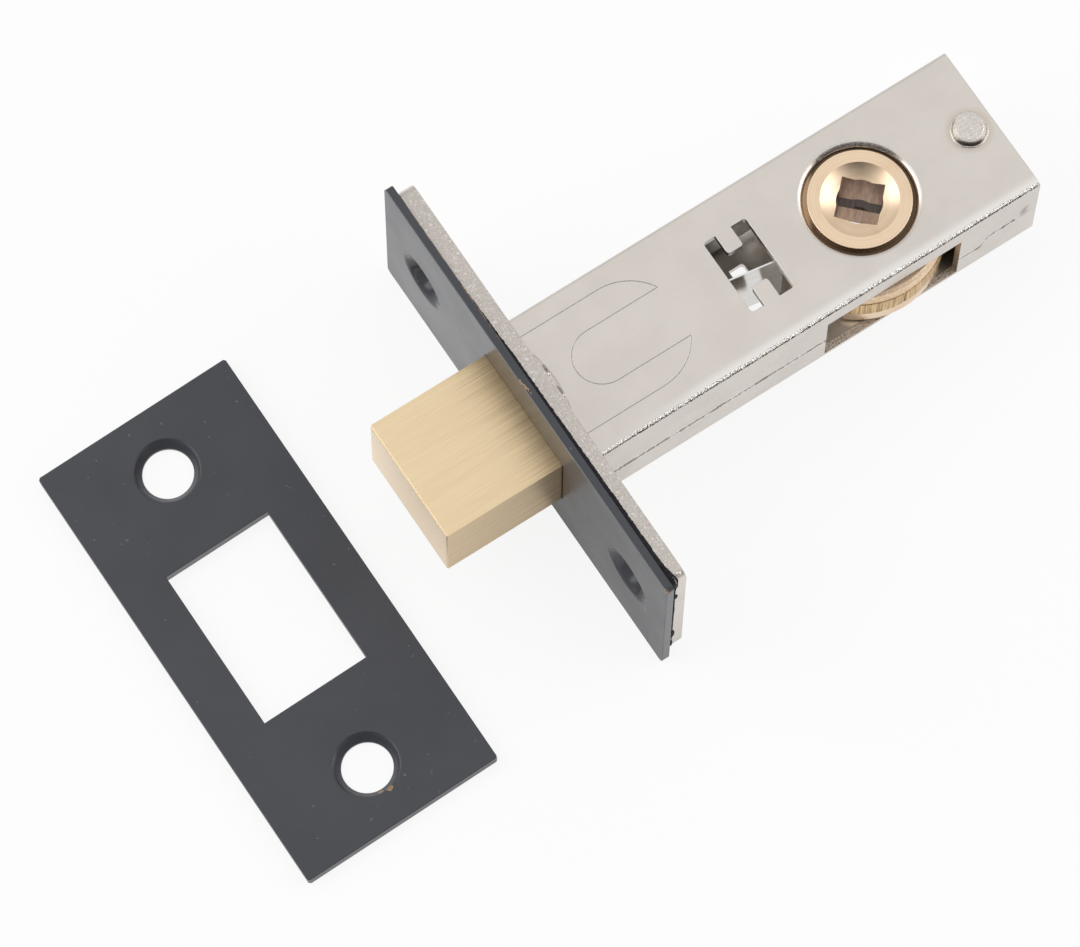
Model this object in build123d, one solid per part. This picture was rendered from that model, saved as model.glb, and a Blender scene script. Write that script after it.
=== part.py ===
from build123d import *
import math
import os

os.makedirs("parts", exist_ok=True)

# All sizes are in millimetres.
# +X is the way the bolt is thrown, +Y runs along the forend, +Z comes out of the case's wide face.
# The origin is the middle of the forend cover's front face.

# Fits and gaps
sliding_gap = 0.15  # bolt in the forend, each side
running_gap = 0.05  # follower in the case walls, on the radius
end_play = 0.05  # follower between the case walls, each end
seat_gap = 0.02  # between fixed pieces, each side
key_gap = 0.03  # round the forks that are let into the case
seam_gap = 0.1  # open seam between the two case shells
passing_gap = 0.3  # between the tail strip and the follower's hub

# Bolt, which fills the case's front
bolt_side_gap = 0.9
bolt_face_gap = 0.2
bolt_edge = 0.15
bolt_root = 5.0  # how far the full block reaches behind the forend cover's face

# Forend cover and the plate behind it
cover_length = 57.0
cover_width = 25.0
cover_thick = 1.0
cover_corner_r = 0.6
cover_gap = 0.05
plate_length = 55.5
plate_width = 23.6
plate_thick = 2.1
plate_corner_r = 1.2
plate_roll = 0.75  # how far the plate's front face falls away at its +Y end
plate_roll_middle = 0.34  # and halfway along the roll
plate_roll_length = 17.5
plate_roll_small = 0.15  # at its -Y end
plate_roll_small_middle = 0.04
plate_roll_small_length = 5.8
swell_height = 0.6  # raised patch on the plate's back where the fork is staked
swell_width = 8.6
swell_y = 0.7
swell_margin = 0.2

# Screws in the forend and the strike plate
screw_spacing = 42.0
countersink_d = 7.5
forend_hole_d = 4.5
dimple_d = 6.6  # cover's metal round a screw
dimple_back = 1.9  # how far the cover is pressed in behind its front face
plate_hole_d = 6.8  # lets the cover's pressed-in metal through
strike_countersink_d = 7.8
strike_countersink_depth = 1.1
strike_hole_d = 6.0

# Case
case_width = 19.3
case_depth = 13.4
case_back = -63.6
wall = 0.9
bend_r = 0.5
flap_gap = 0.1

# Seam on the case's sides, from the front to the small round end
seam_z = -1.4
seam_low_z = -2.1
seam_high_z = -0.2
seam_low_end = -56.0
seam_step = 1.0
seam_end = -60.4
seam_end_r = 0.25
dent_x = -62.0
dent_z = 0.5
dent_r = 1.0
dent_depth = 0.2

# Side windows, from the follower's axis
window_ahead = 10.7
window_behind = 7.6
window_top = 3.5

# Keyed joint between fork and case
key_y = -0.3  # the pressing is a little off the middle
fork_half = 6.85
fork_round_x = -14.5
tongue_half = 3.4
tongue_round_x = -10.65
tenon_half = 3.5

# H-shaped cut-out
cut_x = -30.45
cut_length = 5.7
cut_width = 9.9
tab_length = 2.1
tab_width = 2.6
cut_tab_shift = 0.15  # the tabs stand nearer the front leg
cut_corner_r = 0.4
lower_cut_shift = 0.2

# Follower
follower_x = -45.4
hub_proud = 0.1
hub_land = 1.45  # flat ring round the dish
collar_drop = 0.65
collar_step = 0.5
shoulder_step = 0.4
rim_width = 0.5  # rolled-over rim round the hole in the case wall
rim_depth = 0.4
dish_floor_r = 2.5  # only the upper hub is dished
dish_depth = 1.0
spindle = 5.0
spindle_pilot_d = 5.36
flange_out = 0.55  # how far the flanges stand out of the side windows
flange_thick = 2.4
flange_bevel = 0.35
cam_out = 0.1
cam_thick = 2.75
cam_top = 0.0
rim_start_deg = 48.0  # the full rim runs from here the long way round
rim_end_deg = 275.0
notch_deg = 88.0
notch_width = 0.3
notch_depth = 0.15
lug_deg = -45.0
lug_width = 2.0
lug_past = 0.5  # lug beyond the middle of the tail strip when the bolt is thrown
lug_corner_r = 0.8
layer_rivet_r = 1.0
layer_rivet_edge = 0.8
layer_rivet_deg = (75.0, 255.0)

# Tail strip, on edge beside the follower
strip_wall_gap = 0.55
strip_thick = 1.0
strip_half_height = 4.6
strip_front = -4.0
strip_slot_half = 2.25
strip_slot_gap = 0.15
strip_tail = 4.8  # strip behind the slot's middle
tang_length = 8.0
tang_inner_y = -3.5
tail_rivet_r = 1.2
tail_rivet_pitch = 4.0

# Rear rivet
rivet_x = -60.55
rivet_y = -0.2
rivet_r = 1.5
rivet_head_r = 1.98
rivet_head_height = 0.9
rivet_head_taper = 0.18  # on the radius
spacer_r = 2.05

# Detent spring
spring_thick = 0.2
spring_half_height = 5.6
spring_foot_front = -21.6
spring_bend_x = -25.6
spring_bend_y = 0.9
spring_low_x = -27.0
spring_low_y = -0.45
spring_tip_x = -34.6
spring_tip_y = 0.77
spring_bend_r = 1.0

# Strike plate, lying on the table beside the forend
strike_length = 57.2
strike_width = 25.5
strike_thick = 1.5
strike_corner = 0.25
strike_open_length = 20.8
strike_open_width = 13.75
strike_away = 35.3  # along the table, from the cover's lower edge to the plate's middle
strike_y = -1.0

# Values that follow from the ones above
case_front = -(cover_thick + cover_gap + plate_thick)
plate_front = -(cover_thick + cover_gap)
inner_y = case_width / 2 - wall
inner_z = case_depth / 2 - wall
outer_z = case_depth / 2
window_front = follower_x + window_ahead
window_back = follower_x - window_behind
bolt_width = 2 * (inner_y - bolt_side_gap)
bolt_depth = 2 * (inner_z - bolt_face_gap)
open_half_y = bolt_width / 2 + sliding_gap
open_half_z = bolt_depth / 2 + sliding_gap
screw_ys = (-screw_spacing / 2, screw_spacing / 2)
cam_bottom = cam_top - cam_thick
strip_outer_y = -(inner_y - strip_wall_gap)
strip_inner_y = strip_outer_y + strip_thick
strip_mid_y = strip_outer_y + strip_thick / 2
slot_x = follower_x - strip_mid_y  # the lug stands at 45 degrees here
bolt_throw = -2 * strip_mid_y  # the lug swings from 45 degrees ahead to 45 degrees behind
shoulder_r = -strip_inner_y - passing_gap
collar_r = shoulder_r - shoulder_step
hub_r = collar_r - collar_step
dish_r = hub_r - hub_land
hole_r = collar_r + running_gap
flange_r = case_width / 2 + flange_out
cam_r = flange_r + cam_out
lug_r = -strip_mid_y * math.sqrt(2) + lug_past
layer_rivet_circle_r = flange_r - layer_rivet_edge - layer_rivet_r
face_z = outer_z + hub_proud
follower_axis = Pos(follower_x, 0, 0)


def block(x0, x1, y0, y1, z0, z1):
    """A box between two limits on each axis."""
    return Pos((x0 + x1) / 2, (y0 + y1) / 2, (z0 + z1) / 2) * Box(x1 - x0, y1 - y0, z1 - z0)


def rod_x(radius, x0, x1, y):
    """A round bar along X."""
    return Pos((x0 + x1) / 2, y, 0) * Rot(0, 90, 0) * Cylinder(radius, x1 - x0)


def rod_y(radius, y0, y1, x, z):
    """A round bar along Y."""
    return Pos(x, (y0 + y1) / 2, z) * Rot(90, 0, 0) * Cylinder(radius, y1 - y0)


def rod_z(radius, z0, z1, x=0, y=0):
    """A round bar along Z."""
    return Pos(x, y, (z0 + z1) / 2) * Cylinder(radius, z1 - z0)


def layer(sketch, z0, z1):
    """A flat outline drawn on XY, made solid between two heights."""
    return Pos(0, 0, z0) * extrude(sketch, z1 - z0)


def turned_over(shape):
    """The same pressing on the other side of the case, turned over about the X axis."""
    return Rot(180, 0, 0) * shape


# Forend

def forend_cover():
    """Thin plate whose screw holes are pressed in to take countersunk heads."""
    half_y = cover_length / 2
    half_z = cover_width / 2
    cover = block(-cover_thick, 0, -half_y, half_y, -half_z, half_z)
    cover = fillet(cover.edges().filter_by(Axis.X), cover_corner_r)
    cover -= block(-cover_thick, 0, -open_half_y, open_half_y, -open_half_z, open_half_z)
    mouth_r = countersink_d / 2
    screw_r = forend_hole_d / 2
    sink = mouth_r - screw_r
    for y in screw_ys:
        cover += rod_x(dimple_d / 2, -dimple_back, -cover_thick, y)
        cover -= rod_x(screw_r, -dimple_back, 0, y)
        cover -= Pos(-sink / 2, y, 0) * Rot(0, 90, 0) * Cone(screw_r, mouth_r, sink)
    return cover


def plate_swell():
    """Raised patch on the plate's back above the case, pushed out where the fork is staked."""
    start = (case_front, swell_y - swell_width / 2)
    middle = (case_front - swell_height, swell_y)
    end = (case_front, swell_y + swell_width / 2)
    outline = make_face(ThreePointArc(start, middle, end) + Line(end, start))
    return layer(outline, outer_z + swell_margin, plate_width / 2)


def forend_plate():
    half_y = plate_length / 2
    roll_y = half_y - plate_roll_length / 2
    small_roll_y = half_y - plate_roll_small_length / 2
    flat_start = (plate_front, plate_roll_small_length - half_y)
    flat_end = (plate_front, half_y - plate_roll_length)
    rolled_end = (plate_front - plate_roll, half_y)
    rolled_start = (plate_front - plate_roll_small, -half_y)
    side = [
        Line((case_front, -half_y), (case_front, half_y)),
        Line((case_front, half_y), rolled_end),
        ThreePointArc(rolled_end, (plate_front - plate_roll_middle, roll_y), flat_end),
        Line(flat_end, flat_start),
        ThreePointArc(flat_start, (plate_front - plate_roll_small_middle, -small_roll_y), rolled_start),
        Line(rolled_start, (case_front, -half_y)),
    ]
    plate = layer(make_face(Wire(side)), -plate_width / 2, plate_width / 2)
    outline = Plane.YZ * RectangleRounded(plate_length, plate_width, plate_corner_r)
    plate &= extrude(outline, 2 * plate_thick, both=True)
    plate += plate_swell()
    plate += turned_over(plate_swell())
    plate -= block(case_front, plate_front, -open_half_y, open_half_y, -open_half_z, open_half_z)
    for y in screw_ys:
        plate -= rod_x(plate_hole_d / 2, case_front, plate_front, y)
    notch_half = tenon_half + seat_gap
    notch = block(case_front, plate_front, key_y - notch_half, key_y + notch_half, 0, outer_z + seat_gap)
    return plate - notch - turned_over(notch)


# Keyed joint

def fork_outline(gap):
    """Two prongs round a tongue. The gap makes the outline smaller on every side."""
    half = fork_half - gap
    slot = tongue_half + gap
    body_x = (case_front + fork_round_x) / 2
    tongue_x = (tongue_round_x + fork_round_x - fork_half) / 2
    body = Pos(body_x, key_y) * Rectangle(case_front - fork_round_x, 2 * half)
    body += Pos(fork_round_x, key_y) * Circle(half)
    body -= Pos(tongue_x, key_y) * Rectangle(tongue_round_x - fork_round_x + fork_half, 2 * slot)
    body -= Pos(tongue_round_x, key_y) * Circle(slot)
    return body


def upper_fork():
    """Prongs in the case wall and the tenon that goes through the forend plate."""
    tenon = block(case_front, plate_front, key_y - tenon_half, key_y + tenon_half, inner_z, outer_z)
    return layer(fork_outline(key_gap), inner_z, outer_z) + tenon


def lower_fork():
    return turned_over(upper_fork())


# Case

def case_tube():
    """Square tube with sharp folded edges, before it is parted into two shells."""
    tube = block(case_back, case_front, -case_width / 2, case_width / 2, -outer_z, outer_z)
    low_back = tube.edges().filter_by(Axis.Y).sort_by(Axis.X)[:2].sort_by(Axis.Z)[0]
    tube = fillet(tube.edges().filter_by(Axis.X) + [low_back], bend_r)
    tube -= block(case_back, case_front, -inner_y, inner_y, -inner_z, inner_z)
    tube -= block(window_back, window_front, -case_width, case_width, -inner_z, window_top)
    return tube


def side_region(side):
    """All that lies above the seam for side 1, or below it for side -1."""
    shift = side * seam_gap / 2
    line = [
        (case_front + wall, seam_z + shift),
        (window_front, seam_z + shift),
        (window_back, seam_low_z + shift),
        (seam_low_end, seam_low_z + shift),
        (seam_low_end - seam_step, seam_high_z + shift),
        (seam_end, seam_high_z + shift),
        (seam_end, seam_high_z),
        (case_back - wall, seam_high_z),
        (case_back - wall, side * case_depth),
        (case_front + wall, side * case_depth),
    ]
    outline = Plane.XZ * make_face(Polyline(*line, close=True))
    return extrude(outline, case_width, both=True)


def h_cut():
    """H-shaped opening: two legs along Y joined between two tabs."""
    cut = RectangleRounded(cut_length, cut_width, cut_corner_r)
    tab_y = cut_width / 2
    for y in (-tab_y, tab_y):
        cut -= Pos(cut_tab_shift, y) * RectangleRounded(tab_length, 2 * tab_width, cut_corner_r)
    return cut


def wide_wall_cuts(cut_shift):
    """Openings through one wide wall, drawn for the upper wall."""
    cuts = layer(fork_outline(0), inner_z - wall / 2, outer_z + wall)
    cuts += layer(Pos(cut_x + cut_shift, key_y) * h_cut(), inner_z - wall / 2, outer_z + wall)
    cuts += rod_z(hole_r, inner_z - wall / 2, outer_z, follower_x)
    cuts += Pos(follower_x, 0, outer_z - rim_depth / 2) * Cone(hole_r, hole_r + rim_width, rim_depth)
    return cuts


def rivet_hole():
    return rod_z(rivet_r + seat_gap, -outer_z, outer_z, rivet_x, rivet_y)


def side_marks():
    """Tiny end of the seam, drawn with eight sides, and the shallow dent behind it, on both sides."""
    seam_hole = Plane.XZ * Pos(seam_end, seam_high_z) * RegularPolygon(seam_end_r, 8)
    marks = extrude(seam_hole, case_width, both=True)
    ball_r = (dent_r ** 2 + dent_depth ** 2) / (2 * dent_depth)
    for side in (-1, 1):
        ball_y = side * (case_width / 2 + ball_r - dent_depth)
        marks += Pos(dent_x, ball_y, dent_z) * Sphere(ball_r)
    return marks


def case_upper_shell():
    return case_tube() & side_region(1) - wide_wall_cuts(0) - rivet_hole() - side_marks()


def case_lower_shell():
    shell = case_tube() & side_region(-1) - turned_over(wide_wall_cuts(lower_cut_shift))
    shell = shell - rivet_hole() - side_marks()
    half = inner_y - flap_gap
    flap = block(case_back, case_back + wall, -half, half, -inner_z, inner_z - flap_gap)
    return shell + flap


def rear_rivet():
    head = Cone(rivet_head_r, rivet_head_r - rivet_head_taper, rivet_head_height)
    head = Pos(0, 0, outer_z + rivet_head_height / 2) * head
    return Pos(rivet_x, rivet_y, 0) * (Cylinder(rivet_r, case_depth) + head + turned_over(head))


def rear_spacer():
    spacer = Cylinder(spacer_r, 2 * inner_z) - Cylinder(rivet_r + seat_gap, 2 * inner_z)
    return Pos(rivet_x, rivet_y, 0) * spacer


# Bolt

def tail_rivet_xs():
    middle = -(bolt_root + tang_length / 2)
    return (middle - tail_rivet_pitch / 2, middle + tail_rivet_pitch / 2)


def bolt_head():
    half_y = bolt_width / 2
    half_z = bolt_depth / 2
    head = block(-bolt_root, bolt_throw, -half_y, half_y, -half_z, half_z)
    head = chamfer(head.faces().sort_by(Axis.X)[-1].edges(), bolt_edge)
    head += block(-bolt_root - tang_length, -bolt_root, -half_y, tang_inner_y, -half_z, half_z)
    head -= block(-bolt_root - tang_length, strip_front, -half_y, strip_inner_y, -half_z, half_z)
    for x in tail_rivet_xs():
        head -= rod_y(tail_rivet_r + seat_gap, strip_inner_y, tang_inner_y, x, 0)
    return head


def tail_strip():
    back = slot_x - strip_tail
    strip = block(back, strip_front, strip_outer_y, strip_inner_y, -strip_half_height, strip_half_height)
    low = cam_bottom - strip_slot_gap
    high = cam_top + strip_slot_gap
    slot_front = slot_x + strip_slot_half
    slot_back = slot_x - strip_slot_half
    strip -= block(slot_back, slot_front, strip_outer_y, strip_inner_y, low, high)
    for x in tail_rivet_xs():
        strip -= rod_y(tail_rivet_r + seat_gap, strip_outer_y, strip_inner_y, x, 0)
    return strip


def tail_rivets():
    rivets = [rod_y(tail_rivet_r, strip_outer_y, tang_inner_y, x, 0) for x in tail_rivet_xs()]
    return Compound(children=rivets)


# Follower

def spindle_hole():
    """Square hole with its corners along X and Y."""
    return layer(Rot(0, 0, 45) * Rectangle(spindle, spindle), -case_depth, case_depth)


def drilled_hole():
    """The square hole with the bulges left by the drill."""
    return spindle_hole() + rod_z(spindle_pilot_d / 2, -case_depth, case_depth)


def rim_cut():
    """Part of the rim taken away so that the tail strip can pass."""
    reach = 2 * cam_r
    first = rim_end_deg - 360
    turn = (rim_start_deg - first) / 3
    points = [(0, 0)]
    for step in range(4):
        angle = math.radians(first + step * turn)
        points.append((reach * math.cos(angle), reach * math.sin(angle)))
    wedge = make_face(Polyline(*points, close=True))
    return layer(wedge - Circle(shoulder_r), -case_depth, case_depth)


def rivet_places():
    spots = []
    for degrees in layer_rivet_deg:
        angle = math.radians(degrees)
        spots.append((layer_rivet_circle_r * math.cos(angle), layer_rivet_circle_r * math.sin(angle)))
    return spots


def hub(cam_face):
    """Flange, shoulder, bearing collar and face of one hub."""
    flange_top = cam_face + flange_thick
    flange = rod_z(flange_r, cam_face, flange_top)
    flange = chamfer(flange.faces().sort_by(Axis.Z)[-1].edges(), flange_bevel) - rim_cut()
    shape = flange + rod_z(hub_r, flange_top, face_z)
    shape += rod_z(shoulder_r, flange_top, inner_z - end_play)
    shape += rod_z(collar_r, flange_top, outer_z - collar_drop)
    for x, y in rivet_places():
        shape -= rod_z(layer_rivet_r + seat_gap, cam_face, flange_top, x, y)
    return shape


def upper_hub():
    dish = Pos(0, 0, face_z - dish_depth / 2) * Cone(dish_floor_r, dish_r, dish_depth)
    return follower_axis * (hub(cam_top) - dish - drilled_hole())


def lower_hub():
    mirrored = mirror(hub(-cam_bottom), about=Plane.XY)
    return follower_axis * (mirrored - spindle_hole())


def cam_plate():
    outline = Circle(cam_r)
    outline -= Rot(0, 0, notch_deg) * Pos(cam_r, 0) * Rectangle(2 * notch_depth, notch_width)
    plate = layer(outline, cam_bottom, cam_top) - rim_cut()
    lug = Pos(lug_r / 2, 0) * RectangleRounded(lug_r, lug_width, lug_corner_r)
    plate += layer(Rot(0, 0, lug_deg) * lug, cam_bottom, cam_top)
    plate -= drilled_hole()
    for x, y in rivet_places():
        plate -= rod_z(layer_rivet_r + seat_gap, cam_bottom, cam_top, x, y)
    return follower_axis * plate


def follower_rivets():
    low = cam_bottom - flange_thick
    high = cam_top + flange_thick
    rivets = [follower_axis * rod_z(layer_rivet_r, low, high, x, y) for x, y in rivet_places()]
    return Compound(children=rivets)


# Detent spring

def detent_spring():
    """Leaf on edge: a foot on the side wall, a bend across the case and an arm towards the follower."""
    foot_y = inner_y - spring_thick / 2
    path = FilletPolyline(
        (spring_foot_front, foot_y),
        (spring_bend_x, foot_y),
        (spring_bend_x, spring_bend_y),
        (spring_low_x, spring_low_y),
        (spring_tip_x, spring_tip_y),
        radius=spring_bend_r,
    )
    leaf = trace(path, line_width=spring_thick)
    return layer(leaf, -spring_half_height, spring_half_height)


# Strike plate

def table_tilt():
    """Angle of the table below the set, which rests on the cover's edge and the lower rivet head."""
    run = -cover_thick - (rivet_x - rivet_head_r + rivet_head_taper)
    rise = cover_width / 2 - (outer_z + rivet_head_height)
    return math.degrees(math.atan2(rise, run))


def strike_plate():
    plate = Box(strike_width, strike_length, strike_thick)
    plate = chamfer(plate.edges().filter_by(Axis.Z), strike_corner)
    plate -= Box(strike_open_width, strike_open_length, strike_thick)
    mouth = Cone(strike_hole_d / 2, strike_countersink_d / 2, strike_countersink_depth)
    mouth_z = (strike_thick - strike_countersink_depth) / 2
    for y in screw_ys:
        plate -= Pos(0, y, 0) * Cylinder(strike_hole_d / 2, strike_thick)
        plate -= Pos(0, y, mouth_z) * mouth
    edge = Pos(-cover_thick, 0, -cover_width / 2)
    return edge * Rot(0, table_tilt(), 0) * Pos(strike_away, strike_y, strike_thick / 2) * plate


pieces = {
    "forend_cover": forend_cover,
    "forend_plate": forend_plate,
    "upper_fork": upper_fork,
    "lower_fork": lower_fork,
    "case_upper_shell": case_upper_shell,
    "case_lower_shell": case_lower_shell,
    "rear_rivet": rear_rivet,
    "rear_spacer": rear_spacer,
    "bolt_head": bolt_head,
    "tail_strip": tail_strip,
    "tail_rivets": tail_rivets,
    "upper_hub": upper_hub,
    "lower_hub": lower_hub,
    "cam_plate": cam_plate,
    "follower_rivets": follower_rivets,
    "detent_spring": detent_spring,
    "strike_plate": strike_plate,
}

for node, make in pieces.items():
    export_step(make(), f"parts/{node}.step")
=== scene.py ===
import math
import random

import bpy
from mathutils import Matrix, Vector


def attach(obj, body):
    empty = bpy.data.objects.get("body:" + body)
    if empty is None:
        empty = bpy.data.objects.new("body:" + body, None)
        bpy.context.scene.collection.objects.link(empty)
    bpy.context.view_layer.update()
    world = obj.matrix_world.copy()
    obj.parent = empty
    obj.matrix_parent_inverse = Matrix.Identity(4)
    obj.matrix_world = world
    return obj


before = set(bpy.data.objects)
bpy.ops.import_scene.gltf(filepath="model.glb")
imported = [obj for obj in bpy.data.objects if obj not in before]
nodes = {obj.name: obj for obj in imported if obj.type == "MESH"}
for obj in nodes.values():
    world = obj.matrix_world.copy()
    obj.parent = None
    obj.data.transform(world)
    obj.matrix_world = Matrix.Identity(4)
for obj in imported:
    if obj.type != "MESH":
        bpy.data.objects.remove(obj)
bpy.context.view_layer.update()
MM = 0.001

# Places taken from the model, in metres
FOLLOWER_X = -45.4 * MM
RIVET_X = -60.55 * MM
RIVET_Y = -0.2 * MM
RIVET_HEAD = 0.9 * MM
CASE_HALF_Z = 6.7 * MM
CASE_HALF_Y = 9.65 * MM
CASE_FRONT = -3.15 * MM
CASE_BACK = -63.6 * MM
INNER_HALF_Z = 5.8 * MM
INNER_HALF_Y = 8.75 * MM
BEND_R = 0.5 * MM
COVER_BACK = -1.0 * MM
COVER_HALF_Z = 12.5 * MM
COVER_HALF_Y = 28.5 * MM
SCREW_Y = 21.0 * MM
PLATE_HALF_Z = 11.8 * MM
PLATE_HALF_Y = 27.75 * MM
PLATE_CORNER_R = 1.2 * MM
STAKE_X = -3.44 * MM
SWELL_X = 11.96 * MM
SWELL_Y = 0.7 * MM
SWELL_R = 15.71 * MM
STRIKE_OUT = 35.3 * MM
STRIKE_THICK = 1.5 * MM
STRIKE_Y = -1.0 * MM
HUB_R = 6.0 * MM
HOLE_R = 6.55 * MM
SHOULDER_R = 6.9 * MM
DISH_R = 4.55 * MM
DISH_FLOOR_R = 2.5 * MM
DISH_FLOOR_Z = 5.8 * MM
SPINDLE_CORNER_R = 3.5355 * MM
PILOT_R = 2.68 * MM
WINDOW_FRONT = -34.7 * MM
WINDOW_BACK = -53.0 * MM
SEAM_Z = -1.4 * MM
SEAM_LOW_Z = -2.1 * MM
SEAM_HIGH_Z = -0.2 * MM
SEAM_RISE_X = -56.5 * MM
SEAM_END_X = -60.4 * MM
DENT_X = -61.9 * MM
DENT_Z = 0.9 * MM

# Slope of the table, on which the cover's lower edge and the rear rivet's head rest
TABLE_TILT = math.radians(4.566)

# Ways across the picture, laid flat in X and Y
PICTURE_RIGHT = (-0.833, 0.553, 0.0)
PICTURE_FAR = (-0.541, -0.841, 0.0)
LIP_FAR = (-0.50, -0.86)
RIVET_NEAR = (0.548, 0.836)


# Node helpers

class Graph:
    """Short calls for building a material's node tree."""

    def __init__(self, material):
        material.use_nodes = True
        self.tree = material.node_tree
        self.nodes = self.tree.nodes
        self.links = self.tree.links

    def add(self, kind, inputs=None, **settings):
        node = self.nodes.new(kind)
        for key, value in settings.items():
            setattr(node, key, value)
        for key, value in (inputs or {}).items():
            self.put(node, key, value)
        return node

    def put(self, node, key, value):
        if isinstance(value, bpy.types.NodeSocket):
            self.links.new(value, node.inputs[key])
        else:
            node.inputs[key].default_value = value

    def math(self, operation, a, b=0.0):
        return self.add("ShaderNodeMath", {0: a, 1: b}, operation=operation).outputs[0]

    def vector_math(self, operation, a, b, output=0):
        return self.add("ShaderNodeVectorMath", {0: a, 1: b}, operation=operation).outputs[output]

    def plus(self, a, b):
        return self.math("ADD", a, b)

    def minus(self, a, b):
        return self.math("SUBTRACT", a, b)

    def times(self, first, *others):
        """Product of all the values."""
        for other in others:
            first = self.math("MULTIPLY", first, other)
        return first

    def most(self, a, b):
        return self.math("MAXIMUM", a, b)

    def absolute(self, a):
        return self.math("ABSOLUTE", a)

    def length(self, a, b):
        """Length of the arrow with these two parts."""
        return self.math("SQRT", self.plus(self.times(a, a), self.times(b, b)))

    def ramp(self, value, low, high, to_low=0.0, to_high=1.0, smooth=True):
        node = self.add(
            "ShaderNodeMapRange",
            {"Value": value, "From Min": low, "From Max": high, "To Min": to_low, "To Max": to_high},
            interpolation_type="SMOOTHSTEP" if smooth else "LINEAR",
        )
        return node.outputs[0]

    def place(self):
        return self.add("ShaderNodeTexCoord").outputs["Object"]

    def axes(self, vector):
        node = self.add("ShaderNodeSeparateXYZ", {0: vector})
        return node.outputs[0], node.outputs[1], node.outputs[2]

    def facing(self):
        """The parts of the face's own normal."""
        return self.axes(self.add("ShaderNodeNewGeometry").outputs["True Normal"])

    def stretched(self, vector, scale):
        return self.vector_math("MULTIPLY", vector, scale)

    def noise(self, vector, scale, detail=3.0, roughness=0.55):
        inputs = {"Vector": vector, "Scale": scale, "Detail": detail, "Roughness": roughness}
        return self.add("ShaderNodeTexNoise", inputs).outputs[0]

    def mix(self, factor, a, b):
        node = self.add("ShaderNodeMix", {0: factor, 6: a, 7: b}, data_type="RGBA")
        return node.outputs[2]

    def distance(self, vector, point):
        return self.vector_math("DISTANCE", vector, point, "Value")

    def away(self, vector, point, radius):
        """1 at a point of the object, falling to 0 at the radius."""
        return self.ramp(self.distance(vector, point), radius * 0.35, radius, 1.0, 0.0)

    def band(self, a, b, radius):
        """1 where both distances are under the radius, with a soft edge."""
        near_a = self.ramp(a, radius * 0.8, radius, 1.0, 0.0)
        near_b = self.ramp(b, radius * 0.8, radius, 1.0, 0.0)
        return self.times(near_a, near_b)

    def rounded(self, radius, samples=4):
        """Normal that rounds the edges by the radius."""
        return self.add("ShaderNodeBevel", {"Radius": radius}, samples=samples).outputs[0]

    def bump(self, height, distance, strength=1.0, normal=None):
        inputs = {"Height": height, "Distance": distance, "Strength": strength}
        if normal is not None:
            inputs["Normal"] = normal
        return self.add("ShaderNodeBump", inputs).outputs[0]


def rgb(r, g, b):
    return (r, g, b, 1.0)


def material(name):
    made = bpy.data.materials.new(name)
    graph = Graph(made)
    return made, graph, graph.nodes["Principled BSDF"]


def finish_metal(g, shader, tone, roughness, normal):
    g.put(shader, "Base Color", tone)
    g.put(shader, "Metallic", 1.0)
    g.put(shader, "Roughness", roughness)
    g.put(shader, "Normal", normal)


# Nickel

NICKEL_PALE = rgb(0.97, 0.95, 0.92)
NICKEL_DARK = rgb(0.16, 0.135, 0.11)
SPECK_SCALE = 5200.0
SHEET_EDGE_R = 0.12 * MM


def speckled(g, place, tone, mask, scale, dark, light):
    """The tone with fine dark and pale specks where the mask is 1."""
    speck = g.noise(place, scale, 3.0, 0.75)
    pale = g.mix(g.ramp(speck, 0.30, 0.42, light, 0.0), tone, NICKEL_PALE)
    both = g.mix(g.ramp(speck, 0.52, 0.62, 0.0, dark), pale, NICKEL_DARK)
    return g.mix(mask, tone, both), speck


def satin_nickel(g, place):
    """Tone, roughness and grain shared by all nickel surfaces."""
    cloud = g.noise(place, 130.0, 4.0, 0.6)
    grain = g.noise(place, 5200.0, 2.0, 0.6)
    tone = g.mix(g.ramp(cloud, 0.35, 0.65), rgb(0.695, 0.648, 0.602), rgb(0.730, 0.684, 0.634))
    tone = g.mix(g.ramp(grain, 0.3, 0.7, 0.0, 0.06), tone, rgb(0.42, 0.39, 0.36))
    roughness = g.ramp(g.noise(place, 420.0, 3.0), 0.3, 0.7, 0.30, 0.37)
    return tone, roughness, grain


def lip_nickel():
    """The rolled lip: speckled on its far side, where the sheet was stretched, with painted shade
    darkening that side and a painted brass reflection at its foot.
    """
    made, g, shader = material("lip_nickel")
    place = g.place()
    x, y, z = g.axes(place)
    tone, roughness = satin_nickel(g, place)[:2]
    dx = g.minus(x, FOLLOWER_X)
    across = g.plus(g.times(dx, LIP_FAR[0]), g.times(y, LIP_FAR[1]))
    # Painted shade: the inner part of the lip's far side is darkened towards near black.
    mask = g.times(g.ramp(across, 4.3 * MM, 5.9 * MM), g.ramp(g.length(dx, y), 7.12 * MM, 6.86 * MM))
    tone = g.mix(g.times(mask, 0.8), tone, rgb(0.12, 0.11, 0.11))
    outer = g.times(g.ramp(across, 4.0 * MM, 5.4 * MM), 0.9)
    tone, speck = speckled(g, place, tone, outer, 5600.0, 1.0, 0.9)
    # Painted reflection: the lip's foot is tinted brass, standing in for the brass hub seen in it.
    brass_reflection = g.ramp(z, CASE_HALF_Z - 0.24 * MM, CASE_HALF_Z - 0.32 * MM)
    tone = g.mix(brass_reflection, tone, rgb(0.76, 0.57, 0.38))
    finish_metal(g, shader, tone, roughness, g.bump(g.times(mask, speck), 0.30 * MM, 1.0))
    return made


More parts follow.
